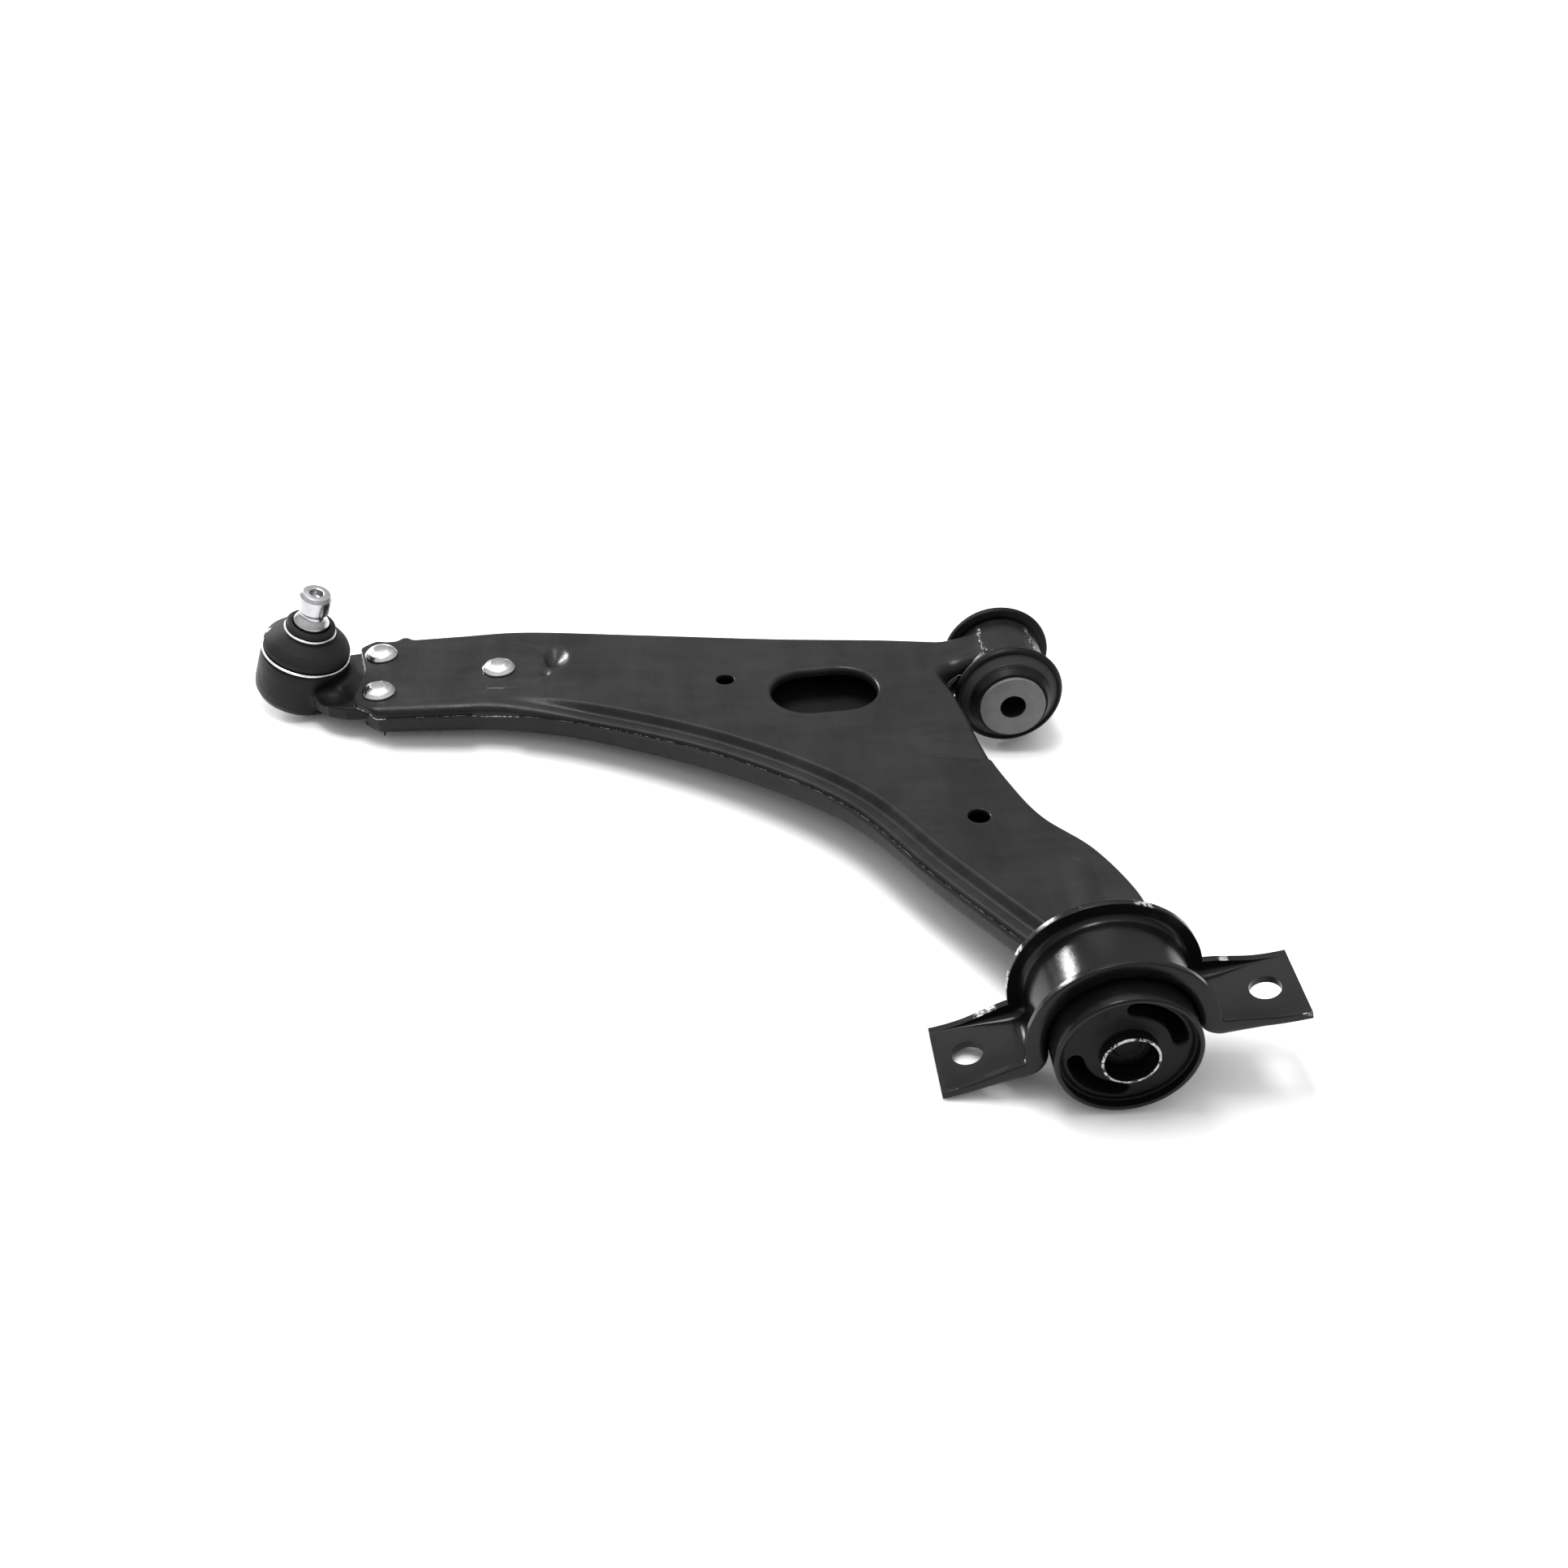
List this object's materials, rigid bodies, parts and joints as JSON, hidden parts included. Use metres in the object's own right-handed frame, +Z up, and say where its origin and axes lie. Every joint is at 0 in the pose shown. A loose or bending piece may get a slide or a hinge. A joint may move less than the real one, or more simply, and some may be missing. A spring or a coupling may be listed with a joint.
{
  "type": "control arm",
  "caption": "Pressed-steel lower suspension control arm with a riveted ball joint, a welded front bush eye and a rear bush in a two-bolt saddle bracket.",
  "frame": {"origin": "centre of the front bush bore, on the pivot axis", "axes": "+Y along the pivot axis from the rear bush towards the front bush, -X towards the ball joint, +Z up, at right angles to the top panel"},
  "size_m": [0.5148, 0.3713, 0.1015],
  "materials": {
    "black_paint": "semi-gloss black coating over pressed steel, worn bright at the sheared edges",
    "bracket_paint": "gloss black coating on the saddle strap, worn at the sheared edges",
    "forged_black": "satin black over a forged surface",
    "weld_metal": "painted weld bead with bright spatter",
    "bush_steel": "dark oiled steel",
    "phosphated_steel": "matt grey phosphate",
    "zinc_steel": "bright zinc plate",
    "rivet_zinc": "bright zinc plate on a hammered dome",
    "ring_wire": "bright drawn wire",
    "bush_rubber": "matt black moulded rubber",
    "boot_rubber": "satin black moulded rubber",
    "seat_plastic": "natural acetal"
  },
  "bodies": {
    "arm": {"top_shell": "black_paint", "bottom_shell": "black_paint", "front_eye_tube": "black_paint", "front_eye_welds": "weld_metal", "front_bush_outer_sleeve": "bush_steel", "front_bush_rubber": "bush_rubber", "pivot_pin": "bush_steel", "pivot_pin_weld": "weld_metal", "rear_bush_inner_sleeve": "bush_steel", "ball_joint_housing": "forged_black", "housing_cap": "zinc_steel", "ball_seat": "seat_plastic", "rivets": "rivet_zinc", "boot_ring_lower": "ring_wire"},
    "front_core": {"front_bush_core": "phosphated_steel"},
    "rear_mount": {"rear_bracket": "bracket_paint", "rear_bush_outer_sleeve": "black_paint", "rear_bush_rubber": "bush_rubber"},
    "boot": {"dust_boot": "boot_rubber"},
    "boot_top": {"boot_ring_upper": "ring_wire"},
    "stud": {"ball_stud": "zinc_steel"}
  },
  "joints": [
    {"name": "front_bush_twist", "type": "hinge", "parent": "arm", "child": "front_core", "pos_m": [0, 0, 0], "axis": [0, 1, 0], "range_deg": [-20, 20], "stiffness_Nm_per_rad": 60},
    {"name": "rear_bush_twist", "type": "hinge", "parent": "arm", "child": "rear_mount", "pos_m": [0, -0.2855, 0], "axis": [0, 1, 0], "range_deg": [-20, 20], "stiffness_Nm_per_rad": 60},
    {"name": "stud_tilt_inboard", "type": "hinge", "parent": "arm", "child": "boot", "pos_m": [-0.40158, 0.01648, 0.01314], "axis": [0.0204, 0.9976, 0.0667], "range_deg": [-18, 18], "deforming": ["dust_boot"]},
    {"name": "stud_tilt_rearward", "type": "hinge", "parent": "boot", "child": "boot_top", "pos_m": [-0.40158, 0.01648, 0.01314], "axis": [-0.9563, 0, 0.2924], "range_deg": [-18, 18], "deforming": ["dust_boot"]},
    {"name": "stud_spin", "type": "hinge", "parent": "boot_top", "child": "stud", "pos_m": [-0.40158, 0.01648, 0.01314], "axis": [0.2917, -0.0698, 0.954], "continuous": true}
  ]
}
